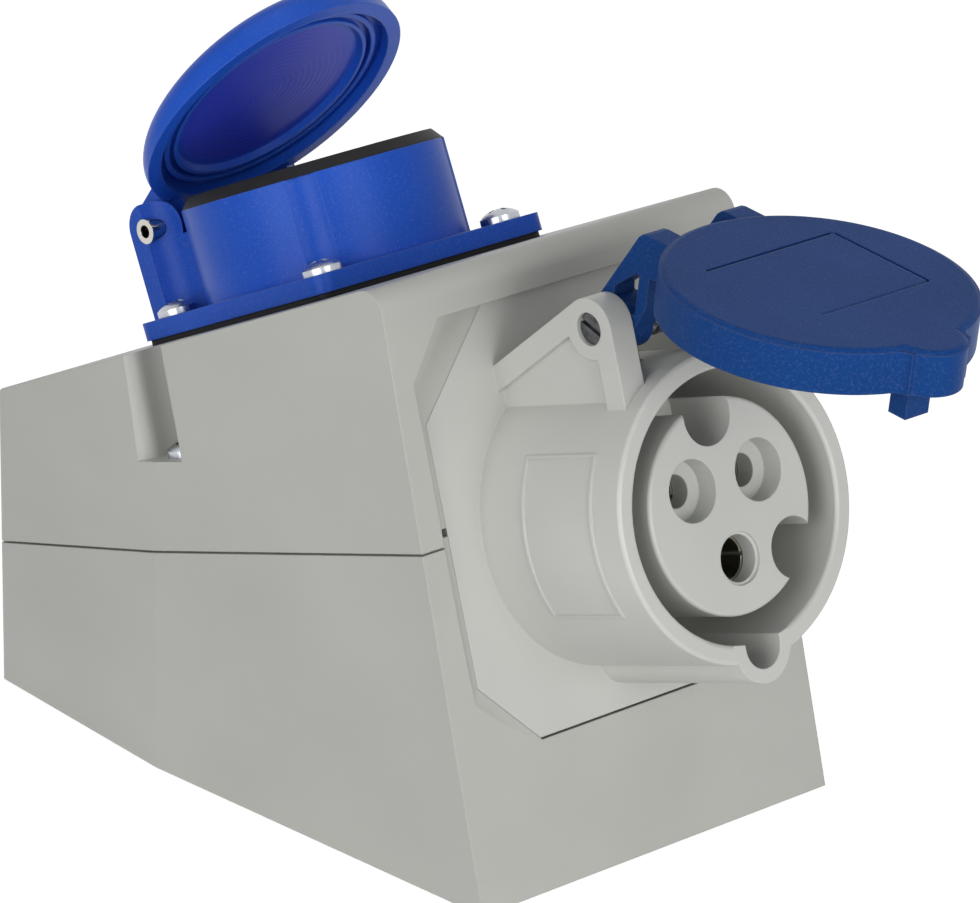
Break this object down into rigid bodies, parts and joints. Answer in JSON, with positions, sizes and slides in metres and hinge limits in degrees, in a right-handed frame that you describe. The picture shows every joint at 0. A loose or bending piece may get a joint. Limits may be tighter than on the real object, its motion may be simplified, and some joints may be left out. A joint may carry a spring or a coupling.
{
  "type": "industrial wall socket",
  "caption": "Sloped surface-mounted wall socket box with a tilted round industrial socket and a flush earthed socket, each under its own hinged round lid.",
  "frame": {"origin": "centre of the back plate, on the wall plane", "axes": "+Z out of the wall, +X to the tilted end face with the round socket (down when mounted), +Y across the box"},
  "size_m": [0.1968, 0.081, 0.1311],
  "materials": {
    "box_grey": "moulded, low sheen",
    "socket_grey": "moulded, low sheen",
    "carrier_grey": "moulded",
    "carrier_black": "moulded",
    "rubber_black": "moulded",
    "lid_blue": "moulded, low sheen",
    "flush_blue": "moulded, low sheen",
    "steel": "zinc plated",
    "spring_steel": "drawn wire",
    "brass": "turned"
  },
  "bodies": {
    "box": {"rear_housing": "box_grey", "front_cover": "box_grey", "housing_seal": "rubber_black", "cover_screws": "steel", "cable_grommet": "rubber_black", "round_socket_housing": "socket_grey", "round_socket_gasket": "rubber_black", "round_socket_screws": "steel", "contact_insert": "socket_grey", "contact_carrier": "carrier_black", "insert_screws": "steel", "line_contact": "brass", "neutral_contact": "brass", "earth_contact": "brass", "terminal_screws": "steel", "round_hinge_pin": "steel", "round_lid_spring": "spring_steel", "flush_socket_body": "flush_blue", "flush_gasket": "rubber_black", "flush_screws": "steel", "flush_carrier": "carrier_grey", "flush_centre_screw": "steel", "flush_line_contact": "brass", "flush_neutral_contact": "brass", "flush_earth_clip": "brass", "flush_terminal_screws": "steel", "flush_collar_seal": "rubber_black", "flush_hinge_rivet": "steel"},
    "round_lid": {"round_lid": "lid_blue", "round_lid_seal": "rubber_black"},
    "flush_lid": {"flush_lid": "flush_blue"}
  },
  "joints": [
    {"name": "round_lid_hinge", "type": "hinge", "parent": "box", "child": "round_lid", "pos_m": [0.06388, 0, 0.09612], "axis": [0, 1, 0], "range_deg": [-50, 65.7], "deforming": ["round_lid_spring"]},
    {"name": "flush_lid_hinge", "type": "hinge", "parent": "box", "child": "flush_lid", "pos_m": [-0.0442, 0, 0.08582], "axis": [0, 1, 0], "range_deg": [-90, 29.8]}
  ]
}
